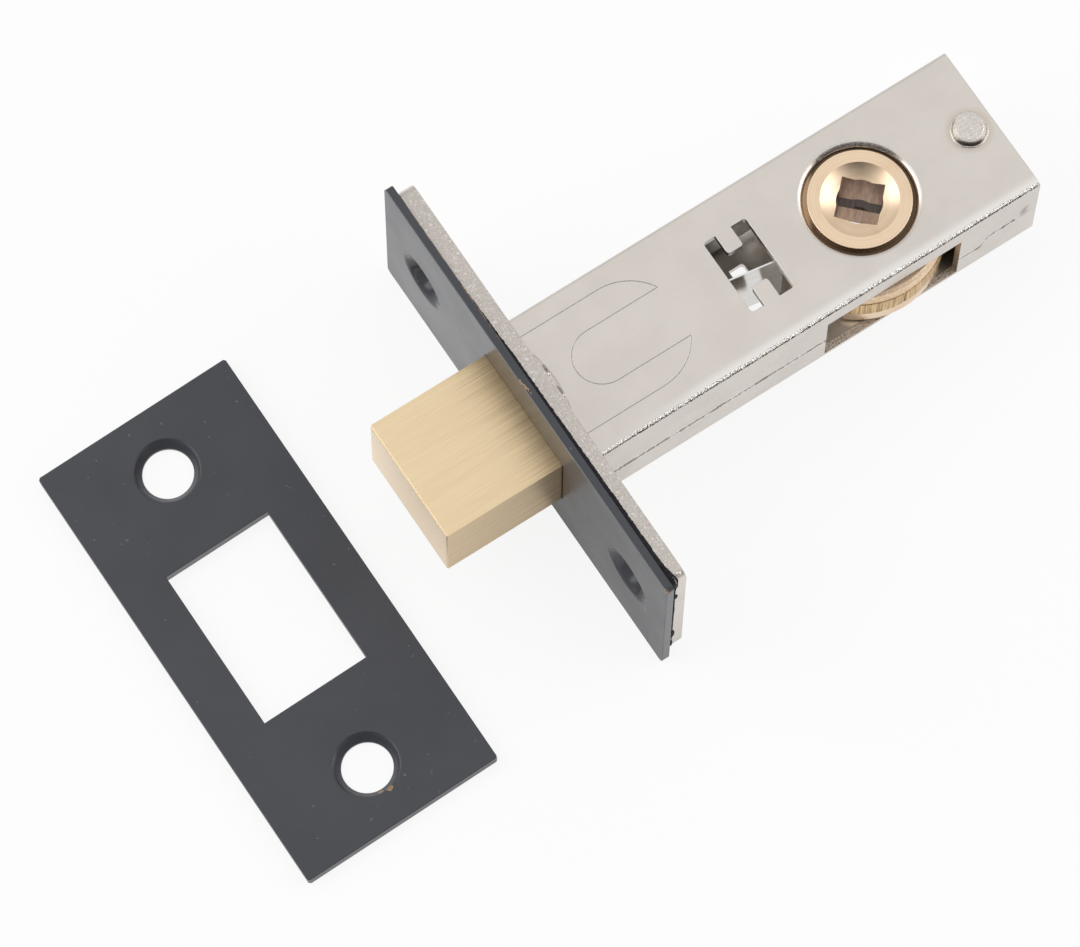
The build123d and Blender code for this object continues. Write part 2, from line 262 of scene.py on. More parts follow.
def sheared_edge(g, y, z, flat_face):
    """1 on the lower edge of the near side window, where the sheet was sheared."""
    outer = g.ramp(y, INNER_HALF_Y - 0.05 * MM, INNER_HALF_Y + 0.01 * MM)
    above = g.ramp(z, -INNER_HALF_Z - 0.15 * MM, -INNER_HALF_Z - 0.06 * MM)
    below = g.ramp(z, -INNER_HALF_Z + 0.10 * MM, -INNER_HALF_Z + 0.06 * MM)
    return g.times(outer, above, below, flat_face)


def painted_fold_highlight(g, x, y, z, flat_face):
    """1 where a highlight is painted on the top face along the near fold, fading out towards the forend.
    """
    top_face = g.times(flat_face, g.ramp(z, CASE_HALF_Z - 0.2 * MM, CASE_HALF_Z - 0.1 * MM))
    near = g.times(g.ramp(y, 8.0 * MM, 9.2 * MM), top_face)
    return g.times(near, g.ramp(x, -22.0 * MM, -6.0 * MM, 1.0, 0.05))


def painted_light_behind_cut(g, x, y, high):
    """1 on the case's inner faces, over a stretch behind the H-shaped cut-out, where light coming in
    through the cut-out is painted as pale metal.
    """
    inside_z = g.ramp(high, INNER_HALF_Z + 0.04 * MM, INNER_HALF_Z + 0.02 * MM)
    inside_y = g.ramp(g.absolute(y), INNER_HALF_Y + 0.04 * MM, INNER_HALF_Y + 0.02 * MM)
    front = g.ramp(x, -31.5 * MM, -34.5 * MM)
    back = g.ramp(x, -41.0 * MM, -39.0 * MM)
    return g.times(inside_z, inside_y, front, back)


def seam_marks(g, place, x, z, side_face):
    """Dirt in the seam and rough pale metal beside it, as two masks."""
    rise = g.ramp(x, SEAM_RISE_X - 0.5 * MM, SEAM_RISE_X + 0.5 * MM, SEAM_HIGH_Z, SEAM_LOW_Z, smooth=False)
    slope = g.ramp(x, WINDOW_BACK, WINDOW_FRONT, SEAM_LOW_Z, SEAM_Z, smooth=False)
    off = g.absolute(g.minus(z, g.most(rise, slope)))
    here = g.times(side_face, g.ramp(x, SEAM_END_X - 0.3 * MM, SEAM_END_X))
    coarse = g.noise(g.stretched(place, (1.0, 1.0, 0.3)), 1100.0, 3.0, 0.7)
    reach = g.ramp(coarse, 0.40, 0.64, 0.12 * MM, 0.52 * MM)
    dirt = g.times(g.ramp(g.math("DIVIDE", off, reach), 0.6, 1.0, 0.9, 0.0), here)
    beads = g.ramp(g.noise(g.stretched(place, (1.0, 1.0, 0.4)), 2600.0, 2.0, 0.6), 0.50, 0.58)
    return dirt, g.times(g.ramp(off, 0.75 * MM, 0.35 * MM), beads, here)


def dent_shade(g, x, z, side_face):
    """Shade of the shallow dent near the case's back."""
    along = g.absolute(g.minus(x, DENT_X))
    up = g.times(g.absolute(g.minus(z, DENT_Z)), 0.42)
    return g.times(g.ramp(g.length(along, up), 0.10 * MM, 0.85 * MM, 0.6, 0.0), side_face)


def sheet_nickel():
    """Case sheet: speckled near the upper fold, dirty along the seam and rough where it was sheared, with
    a painted highlight along the near fold, painted light behind the H-shaped cut-out, a painted brass
    reflection on the sheared edge and painted shade in the dent.
    """
    made, g, shader = material("sheet_nickel")
    place = g.place()
    x, y, z = g.axes(place)
    face_y, face_z = g.facing()[1:]
    side_face = g.ramp(g.absolute(face_y), 0.6, 0.8)
    flat_face = g.ramp(g.absolute(face_z), 0.6, 0.8)
    high = g.absolute(z)
    tone, roughness, grain = satin_nickel(g, place)
    fold = g.band(g.minus(CASE_HALF_Y, y), g.minus(CASE_HALF_Z, high), 0.34 * MM)
    sheared = sheared_edge(g, y, z, flat_face)
    mask = g.most(fold, sheared)
    # Painted highlight: a pale band on the top face along the near fold.
    tone = g.mix(painted_fold_highlight(g, x, y, z, flat_face), tone, rgb(0.86, 0.83, 0.79))
    halo = g.ramp(g.distance(place, (RIVET_X, RIVET_Y, CASE_HALF_Z)), 2.2 * MM, 3.1 * MM, 0.42, 0.0)
    tone = g.mix(halo, tone, rgb(0.56, 0.46, 0.35))
    # Painted reflection: the sheared edge is tinted brass for light bounced off the brass follower; its
    # roughness and specks are real.
    tone = g.mix(g.times(sheared, 0.5), tone, rgb(0.80, 0.66, 0.50))
    tone, speck = speckled(g, place, tone, mask, SPECK_SCALE, 0.9, 1.0)
    # Painted light: the inner faces behind the cut-out are made pale where light falls in through it.
    tone = g.mix(painted_light_behind_cut(g, x, y, high), tone, NICKEL_PALE)
    dirt, beads = seam_marks(g, place, x, z, side_face)
    tone = g.mix(g.times(beads, 0.75), tone, rgb(0.95, 0.93, 0.89))
    tone = g.mix(dirt, tone, rgb(0.17, 0.125, 0.075))
    tone = g.mix(dent_shade(g, x, z, side_face), tone, rgb(0.20, 0.19, 0.22))
    roughness = g.plus(roughness, g.times(mask, 0.08))
    fine = g.bump(grain, 0.005 * MM, 0.5, g.rounded(SHEET_EDGE_R))
    waves = g.bump(g.noise(place, 260.0, 2.0), 0.02 * MM, 0.3, fine)
    finish_metal(g, shader, tone, roughness, g.bump(g.times(mask, speck), 0.12 * MM, 0.9, waves))
    return made


def plate_nickel():
    """Forend plate: its sheared edges have a fine light grain, and a broken dark line runs along the foot
    of its swelling.
    """
    made, g, shader = material("plate_nickel")
    place = g.place()
    x, y = g.axes(place)[:2]
    edge = g.ramp(g.absolute(g.facing()[2]), 0.7, 0.9)
    tone, roughness = satin_nickel(g, place)[:2]
    tone = g.mix(edge, tone, rgb(0.590, 0.540, 0.500))
    from_y = g.minus(y, SWELL_Y)
    line = g.ramp(g.length(g.minus(x, SWELL_X), from_y), SWELL_R - 0.09 * MM, SWELL_R - 0.03 * MM)
    line = g.times(line, g.ramp(g.absolute(from_y), 4.1 * MM, 3.7 * MM))
    line = g.times(line, g.ramp(g.noise(place, 1500.0, 2.0), 0.40, 0.50))
    flakes = g.ramp(g.noise(place, 2400.0, 2.0, 0.6), 0.58, 0.70, 0.0, 0.55)
    tone = g.mix(g.times(edge, flakes), tone, rgb(0.93, 0.89, 0.86))
    tone, speck = speckled(g, place, tone, edge, SPECK_SCALE, 0.22, 0.75)
    tone = g.mix(g.times(line, edge, 0.85), tone, rgb(0.24, 0.20, 0.14))
    roughness = g.plus(roughness, g.times(edge, 0.08))
    normal = g.bump(g.times(edge, speck), 0.05 * MM, 0.6, g.rounded(SHEET_EDGE_R))
    finish_metal(g, shader, tone, roughness, normal)
    return made


def burr_nickel(name, dark, shaded_foot=False, shade_amount=0.0):
    """Rough raised nickel, as on a burr or a peened head; if asked for, painted shade at the foot of the
    rivet's head on its near side, or a painted dark shade over the whole.
    """
    made, g, shader = material(name)
    place = g.place()
    tone, roughness = satin_nickel(g, place)[:2]
    tone, speck = speckled(g, place, tone, 1.0, SPECK_SCALE, dark, 0.9)
    if shaded_foot:
        x, y, z = g.axes(place)
        low = g.ramp(z, CASE_HALF_Z + 0.64 * MM, CASE_HALF_Z + 0.50 * MM)
        out_x = g.times(g.minus(x, RIVET_X), RIVET_NEAR[0])
        out_y = g.times(g.minus(y, RIVET_Y), RIVET_NEAR[1])
        near = g.ramp(g.plus(out_x, out_y), 1.15 * MM, 1.6 * MM)
        # Painted shade: the foot of the rivet's head is darkened on its near side.
        tone = g.mix(g.times(low, near, 0.9), tone, rgb(0.05, 0.04, 0.04))
    if shade_amount:
        # Painted shade: the whole surface is darkened.
        tone = g.mix(shade_amount, tone, rgb(0.16, 0.15, 0.12))
    finish_metal(g, shader, tone, roughness, g.bump(speck, 0.06 * MM, 0.7))
    return made


def fold_nickel():
    """Burr along the fold: near white above, a painted highlight where the ridge catches the light, and
    full of dark pits towards the side.
    """
    made, g, shader = material("fold_nickel")
    place = g.place()
    z = g.axes(place)[2]
    pits = g.noise(place, 7600.0, 2.0, 0.6)
    low = g.ramp(z, CASE_HALF_Z - 0.06 * MM, CASE_HALF_Z - 0.13 * MM)
    pitted = g.ramp(g.plus(pits, g.times(low, 0.16)), 0.56, 0.61)
    dark = g.times(pitted, g.ramp(z, CASE_HALF_Z - 0.36 * MM, CASE_HALF_Z - 0.30 * MM))
    # Painted highlight: the burr's metal is near white; the dark pits are real.
    tone = g.mix(dark, rgb(0.99, 0.975, 0.95), rgb(0.125, 0.080, 0.042))
    finish_metal(g, shader, tone, g.ramp(pits, 0.3, 0.7, 0.3, 0.5), g.bump(pits, 0.05 * MM, 0.6))
    return made


# Black coat and paint

def worn_back_edge(g, place, x, y, z):
    """Wear at broken spots of the cover's rear upper edge, over one stretch."""
    behind = g.ramp(x, COVER_BACK + 0.10 * MM, COVER_BACK + 0.04 * MM)
    along = g.times(g.ramp(y, -26.0 * MM, -22.0 * MM), g.ramp(y, -5.0 * MM, -9.0 * MM))
    broken = g.ramp(g.noise(place, 700.0, 3.0, 0.7), 0.42, 0.56)
    line = g.times(behind, along, g.ramp(z, COVER_HALF_Z - 0.20 * MM, COVER_HALF_Z - 0.08 * MM))
    return g.times(line, broken, 0.8)


def edge_scratch(g, place, x, y, z):
    """1 on the thin broken scratch along the cover's upper edge."""
    wander = g.times(g.minus(g.noise(place, 2200.0, 3.0, 0.6), 0.5), 0.45 * MM)
    middle = g.plus(g.times(y, -0.065), wander)
    off = g.absolute(g.minus(g.plus(x, 0.26 * MM), middle))
    high = g.ramp(z, COVER_HALF_Z - 0.10 * MM, COVER_HALF_Z - 0.03 * MM)
    line = g.times(g.ramp(off, 0.11 * MM, 0.06 * MM), high)
    ends = g.times(g.ramp(y, -1.30 * MM, -1.05 * MM), g.ramp(y, 1.0 * MM, 0.8 * MM))
    return g.times(line, ends, g.ramp(g.noise(place, 5200.0, 2.0, 0.6), 0.40, 0.50))


def black_coat(name, chips, wear_and_edge_highlight=False):
    """Satin black coat with faint orange peel, pale dust and brass showing at worn places, and, if asked
    for, worn edges and a painted highlight along the front upper edge.
    """
    made, g, shader = material(name)
    place = g.place()
    cloud = g.noise(place, 90.0, 3.0, 0.6)
    peel = g.noise(place, 2600.0, 2.0, 0.5)
    dust = g.noise(place, 1900.0, 1.0, 0.4)
    tone = g.mix(g.ramp(cloud, 0.3, 0.7), rgb(0.043, 0.045, 0.054), rgb(0.050, 0.052, 0.062))
    tone = g.mix(g.ramp(dust, 0.76, 0.80, 0.0, 0.30), tone, rgb(0.30, 0.28, 0.26))
    roughness = g.ramp(cloud, 0.3, 0.7, 0.27, 0.33)
    ragged = g.ramp(g.noise(place, 8500.0, 4.0, 0.8), 0.35, 0.65, 0.0, 1.6)
    worn = 0.0
    for point, radius, strength in chips:
        worn = g.most(worn, g.times(g.away(place, point, radius), strength))
    worn = g.ramp(g.times(worn, ragged), 0.48, 0.60)
    if wear_and_edge_highlight:
        x, y, z = g.axes(place)
        worn = g.most(worn, worn_back_edge(g, place, x, y, z))
        worn = g.most(worn, edge_scratch(g, place, x, y, z))
        # Painted highlight: a pale line along the front upper edge.
        high = g.ramp(z, COVER_HALF_Z - 0.16 * MM, COVER_HALF_Z - 0.08 * MM)
        edge_highlight = g.times(g.ramp(x, -0.14 * MM, -0.06 * MM), high)
        tone = g.mix(g.times(edge_highlight, 0.8), tone, rgb(0.20, 0.21, 0.22))
        behind = g.minus(1.0, g.ramp(x, -0.3 * MM, -0.1 * MM))
        roughness = g.minus(roughness, g.times(behind, 0.12))
    g.put(shader, "Base Color", g.mix(worn, tone, rgb(0.52, 0.33, 0.17)))
    g.put(shader, "Metallic", g.times(worn, 0.8))
    g.put(shader, "Roughness", roughness)
    g.put(shader, "Normal", g.bump(peel, 0.006 * MM, 0.5, g.rounded(0.16 * MM, 6)))
    return made


def black_paint():
    """Black paint that ran into the joint behind the cover."""
    made, g, shader = material("black_paint")
    lumps = g.noise(g.place(), 1800.0, 3.0, 0.6)
    tone = g.mix(g.ramp(lumps, 0.3, 0.7), rgb(0.018, 0.018, 0.022), rgb(0.035, 0.035, 0.04))
    g.put(shader, "Base Color", tone)
    g.put(shader, "Roughness", g.ramp(lumps, 0.3, 0.7, 0.70, 0.85))
    g.put(shader, "Specular IOR Level", 0.15)
    g.put(shader, "Normal", g.bump(lumps, 0.03 * MM, 0.6))
    return made


# Brass and steel

def brushed_brass(name):
    """Drawn brass with long fine lines along the throw; painted shade, in streaks, makes it browner where
    it enters the forend and darker on its sides.
    """
    made, g, shader = material(name)
    place = g.place()
    x = g.axes(place)[0]
    face_x, face_y = g.facing()[:2]
    lines = g.noise(g.stretched(place, (30.0, 2600.0, 2600.0)), 5.0, 3.0, 0.6)
    wide = g.noise(g.stretched(place, (12.0, 150.0, 150.0)), 3.0, 2.0)
    threads = g.noise(g.stretched(place, (15.0, 2700.0, 2700.0)), 3.0, 3.0, 0.65)
    tone = g.mix(g.ramp(lines, 0.3, 0.7), rgb(0.810, 0.630, 0.395), rgb(0.890, 0.715, 0.465))
    tone = g.mix(g.ramp(wide, 0.35, 0.7, 0.0, 0.30), tone, rgb(0.92, 0.76, 0.51))
    # Painted shade: browner in streaks towards the forend.
    reach = g.minus(x, g.times(g.minus(threads, 0.5), 11 * MM))
    tone = g.mix(g.ramp(reach, -2.5 * MM, 5.5 * MM, 0.72, 0.0), tone, rgb(0.36, 0.235, 0.115))
    # Painted shade: the side faces are darkened in streaks.
    side = g.ramp(g.absolute(face_y), 0.6, 0.8)
    tone = g.mix(g.times(side, g.ramp(threads, 0.35, 0.65, 0.08, 0.34)), tone, rgb(0.40, 0.25, 0.12))
    front = g.ramp(face_x, 0.6, 0.8)
    tone = g.mix(g.times(front, 0.7), tone, rgb(0.90, 0.68, 0.42))
    roughness = g.minus(g.ramp(lines, 0.3, 0.7, 0.34, 0.42), g.times(front, 0.16))
    finish_metal(g, shader, tone, roughness, g.bump(lines, 0.006 * MM, 0.6, g.rounded(0.04 * MM, 6)))
    return made


def turned_brass(name):
    """Turned brass with fine rings, with painted shade in the gap round the hub, lighter on its left where
    light falls, darker brown with streaks in its square hole, and painted glints on the flange.
    """
    made, g, shader = material(name)
    place = g.place()
    x, y, z = g.axes(place)
    dx = g.minus(x, FOLLOWER_X)
    radius = g.length(dx, y)
    track = g.add("ShaderNodeCombineXYZ", {0: g.times(radius, 9000.0), 1: g.times(z, 9000.0)})
    rings = g.noise(track.outputs[0], 1.0, 2.0, 0.5)
    cloud = g.noise(place, 300.0, 3.0)
    tone = g.mix(g.ramp(rings, 0.3, 0.7), rgb(0.835, 0.625, 0.430), rgb(0.920, 0.725, 0.530))
    tone = g.mix(g.ramp(cloud, 0.45, 0.75, 0.0, 0.3), tone, rgb(0.66, 0.47, 0.28))
    # Painted shade: the gap round the hub is darkened, less so on its left, where light falls.
    gap = g.times(g.ramp(radius, HUB_R - 0.03 * MM, HUB_R + 0.03 * MM), g.ramp(z, 6.72 * MM, 6.45 * MM))
    within = g.ramp(radius, SHOULDER_R + 0.05 * MM, SHOULDER_R - 0.15 * MM)
    gap = g.times(gap, g.ramp(z, 5.2 * MM, 5.8 * MM), within)
    to_left = g.minus(g.times(dx, -PICTURE_RIGHT[0]), g.times(y, PICTURE_RIGHT[1]))
    gap_shade = g.mix(g.ramp(to_left, 5.2 * MM, 6.0 * MM), rgb(0.065, 0.040, 0.024), rgb(0.42, 0.28, 0.17))
    tone = g.mix(g.times(gap, 0.95), tone, gap_shade)
    # The square hole's walls are darker brown with streaks.
    hole = g.times(g.ramp(radius, 3.75 * MM, 3.45 * MM), g.ramp(z, 6.42 * MM, 6.25 * MM))
    hole = g.times(hole, g.ramp(g.absolute(g.facing()[2]), 0.5, 0.3))
    streaks = g.ramp(g.noise(g.stretched(place, (1600.0, 1600.0, 260.0)), 1.0, 3.0, 0.6), 0.35, 0.65)
    hole_brown = g.mix(streaks, rgb(0.270, 0.160, 0.095), rgb(0.420, 0.270, 0.170))
    tone = g.mix(hole, tone, hole_brown)
    # Painted light: pale specks on the flange, which lies in the case's shade, stand in for glints.
    outside = g.ramp(radius, SHOULDER_R + 0.05 * MM, SHOULDER_R + 0.20 * MM)
    flange = g.times(outside, g.ramp(z, 0.0, 0.1 * MM))
    painted_glints = g.ramp(g.noise(place, 3800.0, 2.0, 0.6), 0.56, 0.66)
    tone = g.mix(g.times(flange, painted_glints), tone, rgb(0.99, 0.90, 0.68))
    roughness = g.plus(g.ramp(cloud, 0.3, 0.7, 0.27, 0.36), g.times(flange, 0.28))
    finish_metal(g, shader, tone, roughness, g.bump(rings, 0.008 * MM, 0.7, g.rounded(0.10 * MM)))
    return made


def blanked_brass(name):
    """Blanked brass with shear lines across its rim, with painted shade making it dark inside the square
    hole.
    """
    made, g, shader = material(name)
    place = g.place()
    x, y = g.axes(place)[:2]
    lines = g.noise(g.stretched(place, (4600.0, 4600.0, 120.0)), 1.0, 3.0, 0.75)
    tone = g.mix(g.ramp(lines, 0.38, 0.62), rgb(0.38, 0.24, 0.10), rgb(0.83, 0.60, 0.31))
    radius = g.length(g.minus(x, FOLLOWER_X), y)
    # Painted shade: near black inside the square hole.
    tone = g.mix(g.ramp(radius, 4.0 * MM, 3.6 * MM), tone, rgb(0.045, 0.024, 0.014))
    finish_metal(g, shader, tone, g.ramp(lines, 0.3, 0.7, 0.32, 0.45), g.bump(lines, 0.05 * MM, 0.8))
    return made


def plain_steel(name, bright, roughness_low=0.26, shaded_towards_forend=False):
    """Steel with a faint rolled grain, darkened by painted shade towards the forend if asked for."""
    made, g, shader = material(name)
    place = g.place()
    lines = g.noise(g.stretched(place, (200.0, 1800.0, 1800.0)), 1.0, 3.0, 0.6)
    low = tuple(0.88 * c for c in bright)
    tone = g.mix(g.ramp(lines, 0.3, 0.7), rgb(*low), rgb(*bright))
    if shaded_towards_forend:
        # Painted shade: darker towards the forend.
        forend_shade = g.ramp(g.axes(place)[0], -32.2 * MM, -29.2 * MM, 0.0, 0.85)
        tone = g.mix(forend_shade, tone, rgb(0.13, 0.11, 0.10))
    roughness = g.ramp(lines, 0.3, 0.7, roughness_low, roughness_low + 0.08)
    finish_metal(g, shader, tone, roughness, g.bump(lines, 0.004 * MM, 0.4))
    return made


# Materials on the model's own pieces

def dress(node, made):
    slots = nodes[node].data.materials
    if len(slots) == 0:
        slots.append(made)
    for index in range(len(slots)):
        slots[index] = made


# Each chip is a place on the coat, its radius and its strength
cover_chips = [
    ((0.0, COVER_HALF_Y - 0.2 * MM, COVER_HALF_Z - 0.2 * MM), 0.50 * MM, 1.0),
    ((-0.2 * MM, COVER_HALF_Y - 0.1 * MM, -COVER_HALF_Z + 0.3 * MM), 0.50 * MM, 0.9),
    ((-0.25 * MM, 0.05 * MM, COVER_HALF_Z), 0.26 * MM, 0.80),
    ((0.0, 24.8 * MM, -2.6 * MM), 0.35 * MM, 0.9),
    ((0.0, 9.4 * MM, 3.2 * MM), 0.24 * MM, 0.8),
]
strike_chips = [
    ((33.6 * MM, 23.6 * MM, -13.76 * MM), 0.65 * MM, 1.1),
    ((34.6 * MM, 23.3 * MM, -14.3 * MM), 0.60 * MM, 0.9),
]
sheet = sheet_nickel()
plate = plate_nickel()
peened = burr_nickel("peened_nickel", 0.22, shaded_foot=True)
ring_nickel = burr_nickel("ring_nickel", 0.30)
bright_burr = burr_nickel("bright_burr", 0.10)
# Painted shade: dark nickel standing in for the shade inside the stake slits.
slit_shade = burr_nickel("slit_shade_nickel", 1.0, shade_amount=0.75)
cover_black = black_coat("cover_black", cover_chips, wear_and_edge_highlight=True)
strike_black = black_coat("strike_black", strike_chips)
paint = black_paint()
hub_brass = turned_brass("hub_brass")
inner_steel = plain_steel("inner_steel", (0.62, 0.60, 0.57))

for node in ("case_upper_shell", "case_lower_shell", "upper_fork", "lower_fork"):
    dress(node, sheet)
for node in ("upper_hub", "lower_hub"):
    dress(node, hub_brass)
for node in ("rear_spacer", "tail_rivets", "follower_rivets"):
    dress(node, inner_steel)
dress("rear_rivet", peened)
dress("forend_plate", plate)
dress("forend_cover", cover_black)
dress("strike_plate", strike_black)
dress("bolt_head", brushed_brass("bolt_brass"))
dress("cam_plate", blanked_brass("cam_brass"))
dress("tail_strip", plain_steel("strip_steel", (0.97, 0.95, 0.92), 0.48, shaded_towards_forend=True))
dress("detent_spring", plain_steel("leaf_steel", (0.84, 0.83, 0.80), 0.08))


# Added pieces

def add_piece(name, verts, faces, made, body="case_and_forend", smooth=True):
    mesh = bpy.data.meshes.new(name)
    mesh.from_pydata(verts, [], faces)
    mesh.materials.append(made)
    for polygon in mesh.polygons:
        polygon.use_smooth = smooth
    piece = bpy.data.objects.new(name, mesh)
    bpy.context.scene.collection.objects.link(piece)
    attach(piece, body)


def strip_faces(rows, columns, closed_rows=False):
    """Quads over a grid of points laid out row by row."""
    faces = []
    for row in range(rows if closed_rows else rows - 1):
        for column in range(columns - 1):
            a = row * columns + column
            b = (row + 1) % rows * columns + column
            faces.append((a, b, b + 1, a + 1))
    return faces


def full_turn(count):
    """Equal angles once round, the last one short of the first."""
    return [2 * math.pi * turn / count for turn in range(count)]


def round_follower(radius, angle, height):
    return (FOLLOWER_X + radius * math.cos(angle), radius * math.sin(angle), height)


def rolled_lip():
    """Smooth rolled-over edge of the follower's hole in the upper wall."""
    width = 0.72 * MM
    depth = 0.50 * MM
    above_wall = 0.002 * MM
    steps = 12
    turns = 144
    verts = []
    for angle in full_turn(turns):
        for step in range(steps + 1):
            t = math.pi / 2 * step / steps
            radius = HOLE_R + width * (1 - math.sin(t))
            height = CASE_HALF_Z + above_wall - depth * (1 - math.cos(t))
            verts.append(round_follower(radius, angle, height))
    add_piece("hole_lip", verts, strip_faces(turns, steps + 1, True), lip_nickel())


def rivet_cap():
    """Peened top of the rear rivet: low, cross-hatched, with a worn edge."""
    top_r = 1.84 * MM
    cap_z = CASE_HALF_Z + RIVET_HEAD + 0.035 * MM
    hatch = 0.075 * MM
    hatch_depth = 0.02 * MM
    edge_drop = 0.16 * MM
    edge_start = 0.86
    rings = 26
    turns = 72
    verts = []
    for angle in full_turn(turns):
        for ring in range(rings + 1):
            share = ring / rings
            x = top_r * share * math.cos(angle)
            y = top_r * share * math.sin(angle)
            grid = 0.5 * (math.sin(x / hatch) + math.sin(y / hatch))
            height = hatch_depth * grid * (1 - share ** 6)
            edge = edge_drop * max(0.0, share - edge_start) / (1 - edge_start)
            verts.append((RIVET_X + x, RIVET_Y + y, cap_z + height - edge))
    add_piece("rivet_cap", verts, strip_faces(turns, rings + 1, True), peened)


def rivet_ring():
    """Thin ring of metal pressed up round the foot of the rivet's head."""
    profile = ((1.95, 0.02), (2.02, 0.09), (2.12, 0.11), (2.20, 0.07), (2.24, 0.0))
    turns = 72
    verts = []
    for angle in full_turn(turns):
        wave = 1 + 0.012 * math.sin(5 * angle) + 0.008 * math.sin(11 * angle + 1)
        for radius, height in profile:
            x = RIVET_X + radius * wave * MM * math.cos(angle)
            y = RIVET_Y + radius * wave * MM * math.sin(angle)
            verts.append((x, y, CASE_HALF_Z + height * MM))
    add_piece("rivet_ring", verts, strip_faces(turns, len(profile), True), ring_nickel)


def dish_height(radius):
    """Height of the dish's surface, which steepens towards its rim."""
    out = (radius - DISH_FLOOR_R) / MM
    return DISH_FLOOR_Z + (0.176 + 0.30 * out + 0.0512 * out * out) * MM


def dish_start(angle):
    """Radius at which the dish begins, just outside the square hole and the drill's bulges."""
    square = SPINDLE_CORNER_R / (abs(math.cos(angle)) + abs(math.sin(angle)))
    return max(square, PILOT_R) + 0.005 * MM


def hub_dish():
    """Smooth turned dish in the upper hub's face, and its edge round the square hole."""
    edge_foot = DISH_FLOOR_Z - 0.05 * MM
    turns = 144
    rings = 14
    dish = []
    edge = []
    for angle in full_turn(turns):
        start = dish_start(angle)
        for ring in range(rings + 1):
            radius = start + (DISH_R - start) * ring / rings
            dish.append(round_follower(radius, angle, dish_height(radius)))
        for height in (edge_foot, dish_height(start)):
            edge.append(round_follower(start, angle, height))
    dish_faces = strip_faces(turns, rings + 1, True)
    edge_faces = strip_faces(turns, 2, True)
    add_piece("hub_dish", dish, dish_faces, hub_brass, "follower")
    add_piece("hub_dish_edge", edge, edge_faces, hub_brass, "follower", smooth=False)


def fold_burr():
    """Raised ragged line that the folding left along the upper near edge of the case."""
    rng = random.Random(5)
    step = 0.07 * MM
    count = int((CASE_FRONT - CASE_BACK - 0.5 * MM) / step)
    profile = 8
    first_deg = 6
    sweep_deg = 70
    verts = []
    for index in range(count):
        x = CASE_FRONT - 0.2 * MM - index * step
        lift = 0.02 * MM + 0.03 * MM * rng.random()
        for point in range(profile):
            t = math.radians(first_deg + sweep_deg * point / (profile - 1))
            inside = 0 < point < profile - 1
            radius = BEND_R + (lift + 0.04 * MM * rng.random() if inside else -0.02 * MM)
            y = CASE_HALF_Y - BEND_R + radius * math.sin(t)
            z = CASE_HALF_Z - BEND_R + radius * math.cos(t)
            verts.append((x, y, z))
    add_piece("fold_burr", verts, strip_faces(count, profile), fold_nickel(), smooth=False)


def cover_dimples():
    """Rounded mouths of the cover's screw holes, where its metal was pressed in."""
    profile = (
        (3.80, 0.004), (3.70, -0.010), (3.58, -0.050), (3.42, -0.140), (3.22, -0.300), (3.00, -0.515),
        (2.75, -0.800), (2.50, -1.090), (2.30, -1.370), (2.235, -1.500), (2.235, -1.880),
    )
    turns = 96
    for index, middle in enumerate((-SCREW_Y, SCREW_Y)):
        verts = []
        for angle in full_turn(turns):
            for radius, depth in profile:
                y = middle + radius * MM * math.cos(angle)
                verts.append((depth * MM, y, radius * MM * math.sin(angle)))
        faces = strip_faces(turns, len(profile), True)
        add_piece("cover_dimple_%d" % index, verts, faces, cover_black)


def strike_lips():
    """Rounded mouths of the strike plate's countersinks."""
    profile = (
        (4.02, 0.004), (3.94, -0.004), (3.86, -0.03), (3.78, -0.08), (3.70, -0.16), (3.62, -0.245),
        (3.56, -0.31),
    )
    turns = 96
    out = Vector((math.cos(TABLE_TILT), 0.0, -math.sin(TABLE_TILT)))
    up = Vector((math.sin(TABLE_TILT), 0.0, math.cos(TABLE_TILT)))
    middle = Vector((COVER_BACK, 0.0, -COVER_HALF_Z)) + STRIKE_OUT * out + STRIKE_THICK * up
    for index, side in enumerate((STRIKE_Y - SCREW_Y, STRIKE_Y + SCREW_Y)):
        verts = []
        for angle in full_turn(turns):
            for radius, height in profile:
                at = middle + radius * MM * math.cos(angle) * out + height * MM * up
                verts.append((at.x, side + radius * MM * math.sin(angle), at.z))
        faces = strip_faces(turns, len(profile), True)
        add_piece("strike_lip_%d" % index, verts, faces, strike_black)


def lump(name, middle, size, made, waves):
    """Small uneven lump with the given middle and half sizes in millimetres."""
    uneven = 0.16
    rows = 12
    columns = 18
    verts = []
    for row in range(rows):
        tall = math.pi * row / (rows - 1)
        for column in range(columns + 1):
            around = 2 * math.pi * column / columns
            bulge = 1 + uneven * math.sin(waves * around + middle[2]) * math.sin(tall)
            x = middle[0] + size[0] * bulge * math.sin(tall) * math.cos(around)
            y = middle[1] + size[1] * bulge * math.sin(tall) * math.sin(around)
            z = middle[2] + size[2] * math.cos(tall)
            verts.append((x * MM, y * MM, z * MM))
    add_piece(name, verts, strip_faces(rows, columns + 1), made)


